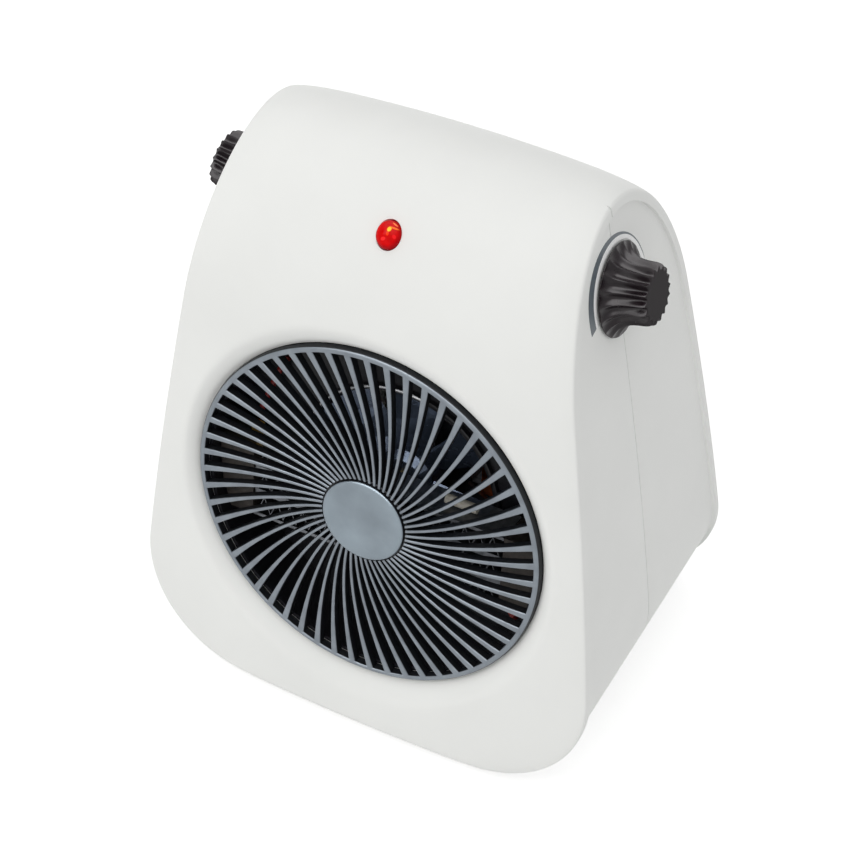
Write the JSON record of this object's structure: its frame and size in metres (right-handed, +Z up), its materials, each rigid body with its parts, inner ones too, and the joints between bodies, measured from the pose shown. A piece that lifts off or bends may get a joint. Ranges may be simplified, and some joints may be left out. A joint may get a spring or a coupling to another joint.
{
  "type": "ceramic space heater",
  "caption": "Upright ceramic fan heater with a tapered pillow-shaped case, a round spiral-ribbed outlet grille, a domed pilot lamp and a fluted control knob on each side.",
  "frame": {"origin": "on the floor, under the middle of the casing's width and depth", "axes": "+Z up, the front with its grille faces -Y, +X to the right of a viewer who faces the front"},
  "size_m": [0.206, 0.1553, 0.252],
  "materials": {
    "shell_white": "satin moulded, ivory white",
    "grille_grey": "satin blue-grey with a metallic look",
    "knob_brown": "gloss flutes with a satin end face",
    "lens_red": "clear red, polished",
    "bulb_glass": "clear",
    "moulded_black": "satin",
    "blade_grey": "satin",
    "rubber_black": "matt",
    "mica_board": "matt board",
    "lead_red": "satin insulation",
    "block_cream": "matt",
    "steel_zinc": "zinc plated",
    "element_aluminium": "mill finish",
    "brass_plain": "plain",
    "coil_copper": "enamelled copper wire under tape",
    "iron_laminated": "stacked laminations, dull"
  },
  "bodies": {
    "chassis": {"front_casing": "shell_white", "rear_casing": "shell_white", "front_grille": "grille_grey", "grille_hub_cap": "grille_grey", "pilot_lamp_lens": "lens_red", "pilot_lamp_bulb": "bulb_glass", "pilot_lamp_holder": "moulded_black", "thermostat_body": "moulded_black", "thermostat_nut": "steel_zinc", "selector_switch_body": "moulded_black", "selector_nut": "steel_zinc", "fan_duct": "moulded_black", "motor_stator": "iron_laminated", "motor_coil": "coil_copper", "motor_front_bracket": "steel_zinc", "motor_rear_bracket": "steel_zinc", "motor_screw_upper": "steel_zinc", "motor_screw_lower": "steel_zinc", "motor_mount": "moulded_black", "fin_row_upper": "element_aluminium", "fin_row_middle": "element_aluminium", "fin_row_lower": "element_aluminium", "ptc_bar_upper": "element_aluminium", "ptc_bar_lower": "element_aluminium", "element_clamp_top": "steel_zinc", "element_clamp_bottom": "steel_zinc", "element_end_left": "mica_board", "element_end_right": "mica_board", "terminal_tab_left": "brass_plain", "terminal_tab_right": "brass_plain", "thermal_cutout": "moulded_black", "thermal_fuse": "block_cream", "lead_left": "lead_red", "lead_right": "lead_red", "terminal_block": "block_cream", "cord_gland": "rubber_black", "cord_clamp": "moulded_black", "cord_clamp_screw": "steel_zinc", "casing_screw_lower_left": "steel_zinc", "casing_screw_lower_right": "steel_zinc", "casing_screw_upper_left": "steel_zinc", "casing_screw_upper_right": "steel_zinc", "foot_front_left": "rubber_black", "foot_front_right": "rubber_black", "foot_rear_left": "rubber_black", "foot_rear_right": "rubber_black"},
    "thermostat_turning": {"thermostat_knob": "knob_brown", "thermostat_spindle": "steel_zinc"},
    "selector_turning": {"selector_knob": "knob_brown", "selector_spindle": "steel_zinc"},
    "fan_rotor": {"fan_impeller": "blade_grey", "impeller_nut": "brass_plain", "motor_shaft": "steel_zinc", "motor_rotor": "iron_laminated"}
  },
  "joints": [
    {"name": "thermostat_turn", "type": "hinge", "parent": "chassis", "child": "thermostat_turning", "pos_m": [0.07754, -0.0035, 0.2124], "axis": [-0.9835, 0, -0.181], "range_deg": [0, 300]},
    {"name": "selector_turn", "type": "hinge", "parent": "chassis", "child": "selector_turning", "pos_m": [-0.07754, -0.0035, 0.2124], "axis": [0.9835, 0, -0.181], "range_deg": [0, 270]},
    {"name": "fan_spin", "type": "hinge", "parent": "chassis", "child": "fan_rotor", "pos_m": [0, -0.02288, 0.10272], "axis": [0, 0.9923, -0.1235], "continuous": true}
  ]
}
